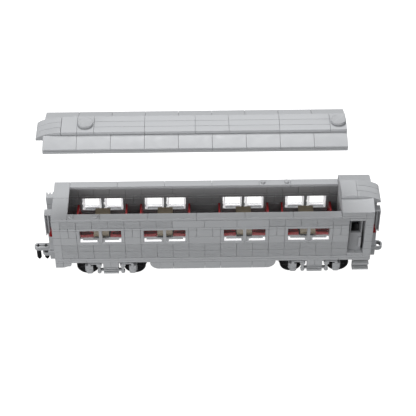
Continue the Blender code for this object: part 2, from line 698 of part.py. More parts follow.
def build():
    clear_scene()
    underframe()
    top_frame()
    cross_wall("left_end_wall", (0, STUD), (0, BODY_WIDTH))
    cross_wall("right_end_wall", (DOORWAY[1], BODY_LENGTH), (0, BODY_WIDTH))
    inside = (WALL + GAP, BODY_WIDTH - WALL - GAP)
    cross_wall("vestibule_partition", (36 * STUD, 37 * STUD), inside)
    end_roof()
    centre_skirt()
    for near in (True, False):
        lower_wall(near)
        upper_wall(near)
        steps(near)
        door(near)
        for number in range(len(BAYS)):
            window_unit(near, number)
    for left in (True, False):
        gangway(left)
        for near in (True, False):
            tail_lamp(left, near)
    for number in range(len(BAYS)):
        seat_bay(number)
        table(number)
    lift_off_roof()
    left_coupler()
    right_coupler()
    number = 0
    for centre, name in zip(BOGIES, ("left_bogie_frame", "right_bogie_frame")):
        bogie_frame(centre, name)
        for side in (-1, 1):
            number += 1
            wheelset(centre, side, number)


build()
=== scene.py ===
"""The look of the model passenger coach: every brick, pane, chair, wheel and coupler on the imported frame.

Shapes are laid out in millimetres, with X counted from the left end of the body, Y from its near
side and Z from the rails up, and point() turns them into metres in the frame's own axes.
"""

import math
import random

import bmesh
import bpy
from mathutils import Matrix, Vector


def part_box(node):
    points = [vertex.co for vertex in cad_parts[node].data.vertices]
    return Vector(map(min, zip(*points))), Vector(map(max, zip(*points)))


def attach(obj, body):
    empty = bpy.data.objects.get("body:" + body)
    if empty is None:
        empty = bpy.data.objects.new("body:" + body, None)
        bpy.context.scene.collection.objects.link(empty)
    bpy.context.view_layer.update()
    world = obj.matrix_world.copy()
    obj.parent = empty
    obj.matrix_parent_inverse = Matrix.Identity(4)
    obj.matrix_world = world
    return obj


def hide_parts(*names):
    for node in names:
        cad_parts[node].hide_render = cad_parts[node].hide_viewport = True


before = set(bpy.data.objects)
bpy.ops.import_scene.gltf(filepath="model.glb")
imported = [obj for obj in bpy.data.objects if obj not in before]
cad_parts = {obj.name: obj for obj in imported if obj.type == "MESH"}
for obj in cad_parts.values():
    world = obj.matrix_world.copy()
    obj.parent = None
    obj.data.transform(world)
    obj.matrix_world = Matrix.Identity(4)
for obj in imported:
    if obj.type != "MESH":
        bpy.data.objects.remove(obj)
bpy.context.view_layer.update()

MM = 0.001
deck_low, deck_high = (Vector(corner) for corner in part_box("top_frame"))
CORNER = Vector((deck_low.x, deck_low.y, 0.0))


def node_box(node):
    """A node's lowest and highest corners, in millimetres from the coach's corner."""
    low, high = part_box(node)
    return (Vector(low) - CORNER) / MM, (Vector(high) - CORNER) / MM


def point(x, y, z):
    """A place given in millimetres from the coach's corner, in metres in the frame."""
    return Vector((x, y, z)) * MM + CORNER


# ---------------------------------------------------------------- driving dimensions

# the brick system's pitch and heights, the gap between parts and the seam between bricks
STUD = (deck_high.x - deck_low.x) / MM / 40
PLATE = 0.4 * STUD
BRICK = 3 * PLATE
LENGTH = 40 * STUD
WIDTH = 7 * STUD
MIDDLE = WIDTH / 2
GAP = 0.3
EDGE = 0.14
SEAM = 0.22
FLUTES = 5
FLUTE_DEPTH = 0.45

# levels
FLOOR_Z = node_box("near_lower_wall")[0].z
SILL_Z = FLOOR_Z - 2 * PLATE
LOWER_TOP = FLOOR_Z + 2 * BRICK
WINDOW_SILL = LOWER_TOP + PLATE
WINDOW_HEAD = WINDOW_SILL + 5 * PLATE
WINDOW_TOP = WINDOW_HEAD + PLATE
UPPER_TOP = WINDOW_TOP + BRICK
RAIL_TOP = UPPER_TOP + PLATE
ROOF_Z = node_box("roof_plate")[0].z
ROOF_HEIGHT = 4 * PLATE

# window bays, and piers in studs between them
BAYS = tuple(n * STUD for n in (3, 11, 21, 29))
PIERS = ((1, 3), (9, 11), (17, 21), (27, 29), (35, 37))
DOORWAY = (37 * STUD, 39 * STUD)
MULLION = PLATE
PANE = 6 * PLATE
SKIRT_END = ((1.0, 0.0), (1.24, 0.22), (1.5, 0.5), (1.84, 0.55), (1.96, 0.8), (2.0, 1.1))
RIDGE = (2 * STUD, 5 * STUD)
SLOPE_EDGE = 2.05
VENTS = (5 * STUD, 35 * STUD)
NEAR_STUDS = (2.5 * STUD, 5.5 * STUD)
FAR_STUDS = (26.5 * STUD, 29.5 * STUD)

# running gear: offsets are from a bogie's centre, wells from there and from the side
AXLE_Z = (node_box("axle_1")[0].z + node_box("axle_1")[1].z) / 2
BOGIES = {"left_bogie": 7 * STUD, "right_bogie": 33 * STUD}
FLANGE_R = (node_box("near_wheel_1")[1].x - node_box("near_wheel_1")[0].x) / 2
TREAD_R = FLANGE_R - 1.2
AXLE_OFFSET = 3 * STUD
BOX_OFFSET = 22.0
KNOB_OFFSET = 12.1
WHEEL_FACE = 7.0
SPOKES = 8
WELL_X = (13.2, 34.4)
WELL_Y = (2.0, 20.4)

# fittings
STUD_R = 2.4
STUD_HEIGHT = 1.8
SOCKET_R = 2.7
SOCKET_DEPTH = 2.2
VENT_R = 7.4
TRAY_WALL = 1.5
TRAY_FOOT = 2.2
DOOR_AXIS_Y = 6.0
DOOR_HALF = 1.4
GRIP_HALF = 1.2
RIB_WIDTH = 1.1
RIBBED_Y = (11.1, 14.0)
POST_Y = (13.8, 19.6)
LEG_X = (1.8, 5.8)
ARM_R = 3.9
EYE_R = 3.5
EYE_RING_R = (node_box("right_coupler")[1].y - node_box("right_coupler")[0].y) / 2
EYE_SIDES = 64
COUPLER_PIN_R = 2.35

# edge angles in degrees, and the place of a wall's painted-shade inside grey in its list
BEVELLED_ABOVE = 32
SHARP_ABOVE = 50
INDOOR_SHADE_SLOT = 1


# ---------------------------------------------------------------- materials


def shader_of(name):
    """A new material, its Principled shader and its node tree."""
    material = bpy.data.materials.new(name)
    material.use_nodes = True
    tree = material.node_tree
    return material, tree.nodes["Principled BSDF"], tree


def noise(tree, scale, detail=3.0, stretch=(1.0, 1.0, 1.0)):
    """A noise that is fixed to the piece, in metres."""
    place = tree.nodes.new("ShaderNodeTexCoord")
    mapping = tree.nodes.new("ShaderNodeMapping")
    mapping.inputs["Scale"].default_value = stretch
    texture = tree.nodes.new("ShaderNodeTexNoise")
    texture.inputs["Scale"].default_value = scale
    texture.inputs["Detail"].default_value = detail
    tree.links.new(place.outputs["Object"], mapping.inputs["Vector"])
    tree.links.new(mapping.outputs["Vector"], texture.inputs["Vector"])
    return texture.outputs["Fac"]


def spread(tree, value, low, high, from_low=0.3, from_high=0.7):
    """The value moved from one range to another."""
    node = tree.nodes.new("ShaderNodeMapRange")
    node.inputs["From Min"].default_value = from_low
    node.inputs["From Max"].default_value = from_high
    node.inputs["To Min"].default_value = low
    node.inputs["To Max"].default_value = high
    tree.links.new(value, node.inputs["Value"])
    return node.outputs["Result"]


def blend_colour(tree, factor, first, second):
    """A mix of two colours, either of which may be another node's output."""
    mix = tree.nodes.new("ShaderNodeMix")
    mix.data_type = "RGBA"
    tree.links.new(factor, mix.inputs["Factor"])
    for socket, colour in ((mix.inputs["A"], first), (mix.inputs["B"], second)):
        if isinstance(colour, tuple):
            socket.default_value = (*colour, 1.0)
        else:
            tree.links.new(colour, socket)
    return mix.outputs["Result"]


def bump(tree, shader, height, strength, distance):
    """Fine relief on the surface."""
    node = tree.nodes.new("ShaderNodeBump")
    node.inputs["Strength"].default_value = strength
    node.inputs["Distance"].default_value = distance
    tree.links.new(height, node.inputs["Height"])
    tree.links.new(node.outputs["Normal"], shader.inputs["Normal"])


def scaled(colour, factor):
    """A colour made lighter or darker."""
    return tuple(min(1.0, c * factor) for c in colour)


def moulded_plastic(name, colour, roughness, wear=1.12):
    """Injection-moulded ABS: a slight tone of its own to each brick, flow clouds and rubbed edges."""
    material, shader, tree = shader_of(name)
    tone = tree.nodes.new("ShaderNodeAttribute")
    tone.attribute_name = "tone"
    brick = blend_colour(tree, tone.outputs["Fac"], scaled(colour, 0.96), scaled(colour, 1.04))
    clouds = spread(tree, noise(tree, 55.0, 4.0), 0.0, 0.16)
    cloudy = blend_colour(tree, clouds, brick, scaled(colour, 0.80))
    pointed = tree.nodes.new("ShaderNodeNewGeometry").outputs["Pointiness"]
    rubbed = spread(tree, pointed, 0.0, 0.6, 0.53, 0.62)
    finished = blend_colour(tree, rubbed, cloudy, scaled(colour, wear))
    tree.links.new(finished, shader.inputs["Base Color"])
    handled = spread(tree, noise(tree, 140.0, 5.0), roughness - 0.07, roughness + 0.10)
    tree.links.new(handled, shader.inputs["Roughness"])
    shader.inputs["IOR"].default_value = 1.5
    shader.inputs["Specular IOR Level"].default_value = 0.3
    bump(tree, shader, noise(tree, 1600.0, 2.0), 0.12, 0.00004)
    return material


def drawn_steel(name):
    """Steel rod, with fine lines along it."""
    material, shader, tree = shader_of(name)
    lines = noise(tree, 900.0, 4.0, (1.0, 0.03, 1.0))
    colour = blend_colour(tree, lines, (0.42, 0.42, 0.43), (0.66, 0.66, 0.67))
    tree.links.new(colour, shader.inputs["Base Color"])
    tree.links.new(spread(tree, lines, 0.22, 0.42), shader.inputs["Roughness"])
    shader.inputs["Metallic"].default_value = 1.0
    bump(tree, shader, lines, 0.2, 0.00003)
    return material


def clear_plastic(name, colour, alpha, roughness=0.08, painted_glow=0.0):
    """Clear moulded plastic, a little hazy, with handling marks; its edges can carry a painted glow,
    emission that stands in for light caught in the plastic.
    """
    material, shader, tree = shader_of(name)
    haze = noise(tree, 90.0, 4.0)
    tint = blend_colour(tree, spread(tree, haze, 0.0, 1.0), colour, scaled(colour, 0.9))
    tree.links.new(tint, shader.inputs["Base Color"])
    tree.links.new(spread(tree, haze, alpha * 0.85, alpha * 1.15), shader.inputs["Alpha"])
    marks = spread(tree, noise(tree, 260.0, 5.0), roughness, roughness + 0.12)
    tree.links.new(marks, shader.inputs["Roughness"])
    shader.inputs["IOR"].default_value = 1.58
    # painted glow: emission in the pane's own colour, though the pane is no lamp
    shader.inputs["Emission Color"].default_value = (*colour, 1.0)
    shader.inputs["Emission Strength"].default_value = painted_glow
    bump(tree, shader, noise(tree, 500.0, 2.0), 0.05, 0.00004)
    return material


GREY = moulded_plastic("light_grey_plastic", (0.36, 0.368, 0.38), 0.42)
# painted shade: a darker copy of the light grey, standing in for the shadow inside the coach
PAINTED_SHADE_GREY = moulded_plastic("inner_painted_shade_grey", (0.20, 0.203, 0.208), 0.42)
# painted shade: the light grey darkened to stand in for the shadow in the flutes
SHADED_FLUTED_GREY = moulded_plastic("fluted_grey_plastic", (0.325, 0.332, 0.343), 0.42)
# painted shade: a darker copy of the light grey for the recessed door leaf
SHADED_DOOR_GREY = moulded_plastic("door_grey_plastic", (0.27, 0.275, 0.285), 0.42)
DARK_RED = moulded_plastic("dark_red_plastic", (0.19, 0.008, 0.010), 0.30, 1.5)
DARK_TAN = moulded_plastic("dark_tan_plastic", (0.20, 0.165, 0.115), 0.36)
BLACK = moulded_plastic("black_plastic", (0.012, 0.012, 0.013), 0.36, 2.2)
STEEL = drawn_steel("axle_steel")
CLEAR = clear_plastic("clear_pane", (0.90, 0.92, 0.93), 0.02)
# pane edges with a faint painted glow
GLOWING_CLEAR_EDGE = clear_plastic("clear_pane_glowing_edge", (0.95, 0.96, 0.97), 0.02, 0.12)
# painted highlight and glow: near-opaque emissive white standing in for reflections on the trays and light
# seen through them
PAINTED_LIGHT_EDGE = clear_plastic("clear_pane_painted_light_edge", (0.97, 0.97, 0.98), 0.85, 0.2, 0.32)
CLEAR_RED = moulded_plastic("clear_red_plastic", (0.16, 0.012, 0.014), 0.12, 1.6)


# ---------------------------------------------------------------- shape making


def arc(centre, radius, start, end, steps):
    """Points on an arc, angles in degrees from the first axis towards the second."""
    points = []
    for i in range(steps + 1):
        angle = math.radians(start + (end - start) * i / steps)
        points.append((centre[0] + radius * math.cos(angle), centre[1] + radius * math.sin(angle)))
    return points


PLACES = {
    "x": lambda a, b, c: point(c, a, b),
    "y": lambda a, b, c: point(a, c, b),
    "z": lambda a, b, c: point(a, b, c),
}


class Moulding:
    """Gathers closed shapes into one piece, with every sharp edge eased."""

    def __init__(self, name, *finishes, edge=EDGE):
        self.name = name
        self.finishes = finishes
        self.edge = edge
        self.finish = 0
        self.indoors = None
        self.bm = bmesh.new()
        self.tone = self.bm.faces.layers.float.new("tone")
        self.random = random.Random(name)

    def keep(self, faces):
        """Gives a new shape its finish and its own tone."""
        tone = self.random.random()
        for face in faces:
            face[self.tone] = tone
            face.material_index = self.finish

    def prism(self, outline, axis, span):
        """An outline of (a, b) points pushed along an axis: (y, z) on x, (x, z) on y, (x, y) on z."""
        place = PLACES[axis]
        first = [self.bm.verts.new(place(a, b, span[0])) for a, b in outline]
        last = [self.bm.verts.new(place(a, b, span[1])) for a, b in outline]
        faces = [self.bm.faces.new(first), self.bm.faces.new(list(reversed(last)))]
        for i in range(len(outline)):
            j = (i + 1) % len(outline)
            faces.append(self.bm.faces.new((first[i], last[i], last[j], first[j])))
        self.keep(faces)

    def block(self, x, y, z):
        """A block between two values on each axis."""
        self.prism([(x[0], y[0]), (x[1], y[0]), (x[1], y[1]), (x[0], y[1])], "z", z)

    def frame(self, outline, hole, axis, span):
        """An outline with a hole of as many points, pushed along an axis."""
        place = PLACES[axis]
        loops = []
        for points in (outline, hole):
            for level in span:
                loops.append([self.bm.verts.new(place(a, b, level)) for a, b in points])
        outer_low, outer_high, inner_low, inner_high = loops
        faces = []
        around = (outer_low, outer_high, inner_high, inner_low)
        for one, two in zip(around, around[1:] + around[:1]):
            for i in range(len(one)):
                j = (i + 1) % len(one)
                faces.append(self.bm.faces.new((one[i], one[j], two[j], two[i])))
        self.keep(faces)

    def turned(self, centre, axis, profile, sides=48, ring=False):
        """A profile of (along, radius) points turned about an axis through a centre, (a, b) off it."""
        place = PLACES[axis]
        loops = []
        for along, radius in profile:
            loop = []
            for i in range(sides):
                angle = 2 * math.pi * (i + 0.5) / sides
                a = centre[0] + radius * math.cos(angle)
                b = centre[1] + radius * math.sin(angle)
                loop.append(self.bm.verts.new(place(a, b, along)))
            loops.append(loop)
        faces = []
        pairs = list(zip(loops, loops[1:]))
        if ring:
            pairs.append((loops[-1], loops[0]))
        else:
            faces.append(self.bm.faces.new(loops[0]))
            faces.append(self.bm.faces.new(list(reversed(loops[-1]))))
        for one, two in pairs:
            for i in range(sides):
                j = (i + 1) % sides
                faces.append(self.bm.faces.new((one[i], two[i], two[j], one[j])))
        self.keep(faces)

    def course(self, joints, y, z):
        """Bricks side by side along X, with a seam at each joint."""
        for start, end in zip(joints, joints[1:]):
            self.block(seamed(start * STUD, end * STUD), y, (z[0], z[1] - SEAM))

    def backing(self, start, end, near, z):
        """A core behind a course, so that no daylight shows through its joints."""
        x = (start * STUD + 1.0, end * STUD - 1.0)
        self.block(x, on_side(near, (3.5, STUD - 1.2)), (z[0] + 0.2, z[1] - 0.5))

    def piece(self, body, *nodes, slot="light_grey_plastic"):
        """Finishes the piece, which rides on a body and stands for CAD nodes.

        Faces that look indoors take the second finish where the wall has one: a darker grey that is painted
        shade for the dim interior.
        """
        bmesh.ops.recalc_face_normals(self.bm, faces=self.bm.faces)
        # inward-looking faces are given the painted-shade grey
        if self.indoors is not None:
            for face in self.bm.faces:
                if face.normal.dot(self.indoors) > 0.7:
                    face.material_index = INDOOR_SHADE_SLOT
        least = math.radians(BEVELLED_ABOVE)
        sharp = [e for e in self.bm.edges if e.is_manifold and e.calc_face_angle() > least]
        bmesh.ops.bevel(
            self.bm,
            geom=sharp,
            offset=self.edge * MM,
            segments=1,
            profile=0.5,
            affect="EDGES",
            clamp_overlap=False,
            material=-1,
        )
        mesh = bpy.data.meshes.new(self.name)
        self.bm.to_mesh(mesh)
        self.bm.free()
        for finish in self.finishes:
            mesh.materials.append(finish)
        mesh.shade_smooth()
        mesh.set_sharp_from_angle(angle=math.radians(SHARP_ABOVE))
        made = bpy.data.objects.new(self.name, mesh)
        bpy.context.scene.collection.objects.link(made)
        weighted = made.modifiers.new("even_shading", "WEIGHTED_NORMAL")
        weighted.keep_sharp = True
        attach(made, body)
        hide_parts(*nodes)
        return made


def around(middle, half):
    """A span of the same length each way from its middle."""
    return (middle - half, middle + half)


def seamed(start, end):
    """A span drawn in by half a seam at each end."""
    return (start + SEAM / 2, end - SEAM / 2)


def mirrored(y):
    """A span across the coach, moved to its other side."""
    return (WIDTH - y[1], WIDTH - y[0])


def on_side(near, y):
    """A span given for the near side, on the side asked for."""
    return y if near else mirrored(y)


def side_name(near):
    return "near" if near else "far"


# ---------------------------------------------------------------- underframe


def add_underframe():
    """Sill courses, a black floor laid on plates, wheel wells, end skirts and the coupler pins; the floor
    is black as painted shade for the dark interior.
    """
    m = Moulding("underframe_plates", GREY, BLACK)
    left, right = BOGIES.values()
    inset = 0.6
    between_wells = (
        (inset, left - WELL_X[1]),
        around(left, WELL_X[0]),
        (left + WELL_X[1], right - WELL_X[1]),
        around(right, WELL_X[0]),
        (right + WELL_X[1], LENGTH - inset),
    )
    for x in between_wells:
        m.block(x, (inset, WIDTH - inset), (SILL_Z + 0.1, FLOOR_Z - 1.0))
    m.block((1, LENGTH - 1), (WELL_Y[1], WIDTH - WELL_Y[1]), (SILL_Z + 0.2, FLOOR_Z - 1.0))
    # black floor plates: painted shade standing in for the deep shadow inside the coach
    m.finish = 1
    for row in range(7):
        y = (row * STUD + SEAM, (row + 1) * STUD - SEAM)
        m.course((0.1, 8, 16, 24, 32, 39.9), y, (FLOOR_Z - 1.05, FLOOR_Z - GAP + SEAM))
    m.finish = 0
    lower = (0, 1, 4, 12, 20, 28, 36, 40)
    upper = (0, 2, 8, 16, 24, 32, 35, 40)
    for near in (True, False):
        y = on_side(near, (0.0, WELL_Y[0]))
        m.course(lower, y, (SILL_Z, SILL_Z + PLATE))
        m.course(upper, y, (SILL_Z + PLATE, FLOOR_Z))
        deep = on_side(near, (0.0, STUD))
        m.course((37, 38, 39), deep, (FLOOR_Z, FLOOR_Z + PLATE + SEAM))
        bottom = SILL_Z - 2 * PLATE
        m.block((0, STUD - SEAM), deep, (bottom, SILL_Z - SEAM))
        curve = [(STUD, SILL_Z - SEAM)]
        curve += [(STUD * along, bottom + PLATE * rise) for along, rise in SKIRT_END]
        curve.append((2 * STUD, SILL_Z - SEAM))
        m.prism(curve, "y", deep)
    for x in ((0.0, 2.0), (LENGTH - 2.0, LENGTH)):
        for z in (SILL_Z, SILL_Z + PLATE):
            m.block(x, (2.1, WIDTH - 2.1), (z, z + PLATE - SEAM))
    for x, bottom in ((0.5 * STUD, SILL_Z - 5.6), (39.5 * STUD, SILL_Z - 13.4)):
        profile = ((bottom, 1.6), (bottom + 0.5, 2.2), (SILL_Z, 2.2), (SILL_Z + 1, 2.2))
        m.turned((x, MIDDLE), "z", profile, 32)
    m.piece("coach_body", "underframe")


def add_centre_skirt():
    """A box of bricks under the floor, with both lower corners rounded."""
    m = Moulding("centre_skirt_bricks", GREY)
    top = SILL_Z - GAP
    low = SILL_Z - 3 * PLATE
    radius = top - low
    start, end = 12 * STUD, 28 * STUD
    flat = (start + radius + 1.0, end - radius - 1.0)
    for y in ((0.0, STUD - SEAM), (WIDTH - STUD + SEAM, WIDTH)):
        left = arc((start + radius, top), radius, 183, 270, 12)
        m.prism([(start + 0.1, top), *left, (flat[0], low), (flat[0], top)], "y", y)
        right = arc((end - radius, top), radius, 357, 270, 12)
        m.prism([(end - 0.1, top), *right, (flat[1], low), (flat[1], top)], "y", y)
        middle = (flat[0] / STUD, 15, 19, 21, 25, flat[1] / STUD)
        m.course(middle, y, (low, top + SEAM))
        m.backing(middle[0] - 0.2, middle[-1] + 0.2, y[0] < MIDDLE, (low, top))
    across = ((start + radius) / STUD, 16, 20, 24, (end - radius) / STUD)
    for row in range(1, 6):
        m.course(across, (row * STUD, (row + 1) * STUD - SEAM), (low + 0.2, top))
    m.piece("coach_body", "centre_skirt")


# ---------------------------------------------------------------- walls


def fluted_brick(m, x, near, z):
    """A two-stud brick with level flutes on its outer face."""
    m.block(x, on_side(near, (FLUTE_DEPTH, STUD)), z)
    pitch = (z[1] - z[0] + SEAM) / FLUTES
    for i in range(FLUTES):
        middle = z[0] + (i + 0.5) * pitch
        m.block(x, on_side(near, (0.0, FLUTE_DEPTH + 0.4)), (middle - 0.31 * pitch, middle + 0.31 * pitch))


def fluted_course(m, start, end, near, bottom):
    """Two-stud fluted bricks side by side along X."""
    for stud in range(start, end, 2):
        x = seamed(stud * STUD, (stud + 2) * STUD)
        fluted_brick(m, x, near, (bottom, bottom + BRICK - SEAM))


def add_lower_wall(near):
    """Two courses of fluted bricks below the windows, in a darker grey that is painted shade of the flutes.
    """
    m = Moulding(f"{side_name(near)}_lower_wall_bricks", SHADED_FLUTED_GREY, PAINTED_SHADE_GREY)
    # faces looking into the coach take the painted-shade grey
    m.indoors = Vector((0, 1 if near else -1, 0))
    for bottom in (FLOOR_Z, FLOOR_Z + BRICK):
        fluted_course(m, 1, 37, near, bottom)
    m.backing(1, 37, near, (FLOOR_Z, LOWER_TOP))
    m.piece("coach_body", f"{side_name(near)}_lower_wall", slot="fluted_grey_plastic")


def add_upper_wall(near):
    """The window course, with its piers and bars, and the course above it, fluted towards the ends."""
    m = Moulding(f"{side_name(near)}_upper_wall_bricks", GREY, PAINTED_SHADE_GREY, SHADED_FLUTED_GREY)
    # faces looking into the coach take the painted-shade grey
    m.indoors = Vector((0, 1 if near else -1, 0))
    y = on_side(near, (0.0, STUD))
    course_top = LOWER_TOP + BRICK
    for start, end in PIERS:
        m.course((start, end), y, (LOWER_TOP, course_top))
        halves = (start, start + 1, end) if end - start == 2 else (start, start + 1, end - 1, end)
        m.course(halves, y, (course_top, course_top + BRICK))
        m.course(halves, y, (WINDOW_HEAD, WINDOW_TOP))
    for bay in BAYS:
        studs = bay / STUD
        m.course((studs, studs + 3, studs + 6), y, (LOWER_TOP, WINDOW_SILL))
        m.course((studs, studs + 6), y, (WINDOW_HEAD, WINDOW_TOP))
        for bar in range(3):
            x = bay + bar * (MULLION + PANE)
            deep = on_side(near, (0.0, 6.0 if bar == 1 else STUD))
            m.block(seamed(x, x + MULLION), deep, (WINDOW_SILL, WINDOW_HEAD - SEAM))
    # the fluted courses take the darker grey that paints in the flutes' shade
    m.finish = 2
    for start, end in ((1, 15), (27, 37)):
        fluted_course(m, start, end, near, WINDOW_TOP)
    m.finish = 0
    m.course((15, 19, 23, 27), y, (WINDOW_TOP, UPPER_TOP))
    for start, end in PIERS:
        first = start if start == 1 else start - 0.25
        last = end if end == 37 else end + 0.25
        m.backing(first, last, near, (LOWER_TOP, WINDOW_TOP))
    m.backing(1, 37, near, (WINDOW_TOP, UPPER_TOP))
    for bay in BAYS:
        studs = bay / STUD
        m.backing(studs - 0.2, studs + 6.2, near, (LOWER_TOP, WINDOW_SILL))
        m.backing(studs - 0.2, studs + 6.2, near, (WINDOW_HEAD, WINDOW_TOP))
    m.course((37, 39), y, (UPPER_TOP - PLATE, UPPER_TOP))
    m.piece("coach_body", f"{side_name(near)}_upper_wall")


def add_cross_wall(node, x, y):
    """A wall across the coach with a doorway, laid in courses."""
    m = Moulding(f"{node}_bricks", GREY)
    doorway = (2.5 * STUD, 4.5 * STUD)
    levels = [FLOOR_Z + n * PLATE for n in (0, 3, 6, 9, 12, 13)]
    for i, (low, high) in enumerate(zip(levels, levels[1:])):
        joint = STUD if i % 2 else 2 * STUD
        for start, end in ((y[0], joint), (joint, doorway[0])):
            m.block(x, seamed(start, end), (low, high - SEAM))
            m.block(x, mirrored(seamed(start, end)), (low, high - SEAM))
    for start, end in ((y[0], 3.5 * STUD), (3.5 * STUD, y[1])):
        m.block(x, seamed(start, end), (WINDOW_TOP, UPPER_TOP - SEAM))
    for side in (doorway[0] - 0.4, doorway[1]):  # thin linings of the doorway
        m.block((x[0] + 1.5, x[1] - 1.5), (side, side + 0.4), (FLOOR_Z, WINDOW_TOP - 0.2))
    m.piece("coach_body", node)


def stud_on(m, x, y, z):
    """A round stud with an eased rim."""
    top = z + STUD_HEIGHT
    profile = ((z - 0.4, STUD_R), (top - 0.3, STUD_R), (top - 0.06, STUD_R - 0.1), (top, STUD_R - 0.3))
    m.turned((x, y), "z", profile, 40)


def add_top_frame():
    """The ring of plates that the roof sits on, with its four studs."""
    m = Moulding("top_frame_plates", GREY)
    z = (UPPER_TOP + SEAM, RAIL_TOP + SEAM)
    m.course((2, 8, 14, 20, 26, 30, 36), (WIDTH - STUD, WIDTH), z)
    m.course((2, 6, 12, 18, 24, 30, 36), (0.0, STUD), z)
    for y in ((0.0, 4 * STUD - SEAM), (4 * STUD, WIDTH)):
        m.course((0, 2), y, z)
    for y in ((0.0, STUD), (STUD + SEAM, WIDTH - STUD - SEAM), (WIDTH - STUD, WIDTH)):
        m.course((36, 39, 40), y, z)
    for x in NEAR_STUDS:
        stud_on(m, x, STUD / 2, RAIL_TOP)
    for x in FAR_STUDS:
        stud_on(m, x, WIDTH - STUD / 2, RAIL_TOP)
    m.piece("coach_body", "top_frame")


# ---------------------------------------------------------------- windows


def add_near_tray(m, x, z, outer_corner):
    """A tray seen from outside: faint walls, and a lip along its foot and one corner in glowing white as
    painted highlight.
    """
    inner = (x[0] + TRAY_FOOT + 0.05, x[1] - TRAY_WALL - 0.05)
    lip = GAP + 1.7
    m.block((x[0], x[0] + TRAY_FOOT), (GAP, STUD - 0.1), z)
    m.block((x[1] - TRAY_WALL, x[1]), (GAP, STUD - 0.1), z)
    m.block(inner, (lip, STUD - 0.1), (z[0], z[0] + TRAY_WALL))
    # lip and corner in the painted-highlight white
    m.finish = 2
    m.block((x[0] + TRAY_FOOT, x[1] - TRAY_WALL), (GAP, lip), (z[0], z[0] + TRAY_WALL))
    corner = (outer_corner - 0.02, outer_corner + TRAY_FOOT + 0.02)
    m.block(corner, (GAP - 0.02, GAP + 2.2), (z[0] - 0.02, z[0] + 3.0))


def add_far_tray(m, x, z):
    """A tray seen from inside: side walls, a ridge behind the pane and two stud stubs, the walls and ridge
    in glowing white as painted light.
    """
    deep = mirrored((GAP, STUD - 0.1))
    inner = (x[0] + TRAY_FOOT + 0.05, x[1] - TRAY_WALL - 0.05)
    m.block(inner, deep, (z[0], z[0] + TRAY_WALL))
    # side walls, ridge and stubs in the painted-light white
    m.finish = 2
    m.block((x[0] + 0.4, x[0] + TRAY_FOOT), deep, z)
    m.block((x[1] - TRAY_WALL, x[1]), deep, z)
    m.block(inner, mirrored((GAP + 3.0, GAP + 4.2)), (z[0] - 0.02, z[0] + TRAY_WALL + 0.3))
    for level in (z[0], (z[0] + z[1]) / 2 - 0.6):
        m.block((x[0] - 1.0, x[0] + 0.5), mirrored((STUD - 2.0, STUD - 0.1)), (level, level + 1.7))


def add_window(near, number):
    """Two clear trays side by side, each with its pane at the outer face, open to the inside."""
    name = f"{side_name(near)}_window_{number + 1}"
    m = Moulding(f"{name}_panes", CLEAR, GLOWING_CLEAR_EDGE, PAINTED_LIGHT_EDGE, edge=0.2)
    z = (WINDOW_SILL + GAP, WINDOW_HEAD - GAP)
    glass = (z[0] + TRAY_WALL, z[1] - TRAY_WALL)
    for pane in (0, 1):
        start = BAYS[number] + MULLION + pane * (PANE + MULLION)
        x = (start + GAP, start + PANE - GAP)
        inner = (x[0] + TRAY_FOOT + 0.05, x[1] - TRAY_WALL - 0.05)
        m.finish = 0
        m.block((x[0] + TRAY_FOOT, x[1] - TRAY_WALL), on_side(near, (GAP, GAP + 1.2)), glass)
        m.finish = 1
        m.block(inner, on_side(near, (GAP, STUD - 0.1)), (z[1] - TRAY_WALL, z[1]))
        if near:
            add_near_tray(m, x, z, x[0] if pane == 0 else x[1] - TRAY_FOOT)
        else:
            add_far_tray(m, x, z)
    m.piece("coach_body", name, slot="clear_plastic")


# ---------------------------------------------------------------- seats and tables


def add_chair(m, row, direction, y):
    """A moulded two-by-two chair with a leaning back and two arms."""
    base = FLOOR_Z + BRICK
    x = sorted((row + direction * 0.1, row + direction * (2 * STUD - 0.1)))
    m.block(x, (y[0], y[1]), (base, base + PLATE))
    front = row + direction * (2 * STUD - 0.9)
    cushion = sorted((row + direction * 2.0, front))
    m.block(cushion, (y[0] + 1.9, y[1] - 1.9), (base + PLATE - 0.4, base + PLATE + 0.9))

    def at(along, up):
        return (row + direction * along, base + up)

    middle = (y[0] + y[1]) / 2
    half = (y[1] - y[0]) / 2 - 0.25
    lean = [at(0.3, 2.6), at(-1.65, 21.3), at(0.15, 21.3), at(2.3, 2.6)]
    m.prism(lean, "y", around(middle, half))
    head = [at(-1.45, 19.4), at(-1.65, 21.35), at(0.18, 21.35), at(0.36, 19.4)]
    m.prism(head, "y", around(middle, half - 1.4))
    arm = [at(0.5, 2.8), at(0.0, 8.2), at(6.6, 8.2), at(9.6, 7.6)]
    arm += [at(13.4, 6.2), at(15.3, 5.2), at(15.5, 2.8)]
    for edge in (y[0] + 0.25, y[1] - 1.75):
        m.prism(arm, "y", (edge, edge + 1.5))


